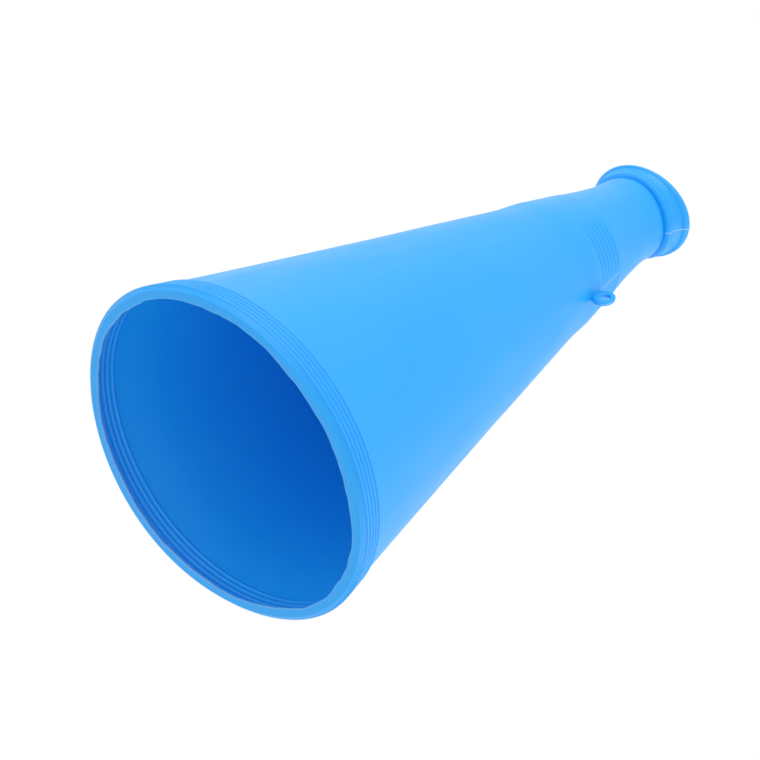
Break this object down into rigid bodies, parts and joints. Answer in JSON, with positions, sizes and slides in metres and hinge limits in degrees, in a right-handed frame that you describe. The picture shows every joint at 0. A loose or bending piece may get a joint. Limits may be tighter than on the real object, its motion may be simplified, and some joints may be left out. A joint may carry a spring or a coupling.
{
  "type": "stadium horn",
  "caption": "Hand-held cheering megaphone: a blow-moulded plastic cone with ribbed bell and neck, a strap eye and a push-on oval mouthpiece.",
  "frame": {"origin": "centre of the bell rim, on the plane that the rim stands on", "axes": "+Z along the horn's axis from the bell to the mouthpiece, +X towards the strap lug, so the mould's parting plane is Y = 0"},
  "size_m": [0.1736, 0.1736, 0.3471],
  "materials": {
    "horn_plastic": "semi-matte blow-moulded polyethylene, sky blue",
    "mouthpiece_plastic": "semi-matte moulded polyethylene, sky blue"
  },
  "bodies": {
    "root": {"horn_cone": "horn_plastic", "mouthpiece": "mouthpiece_plastic"}
  },
  "joints": []
}
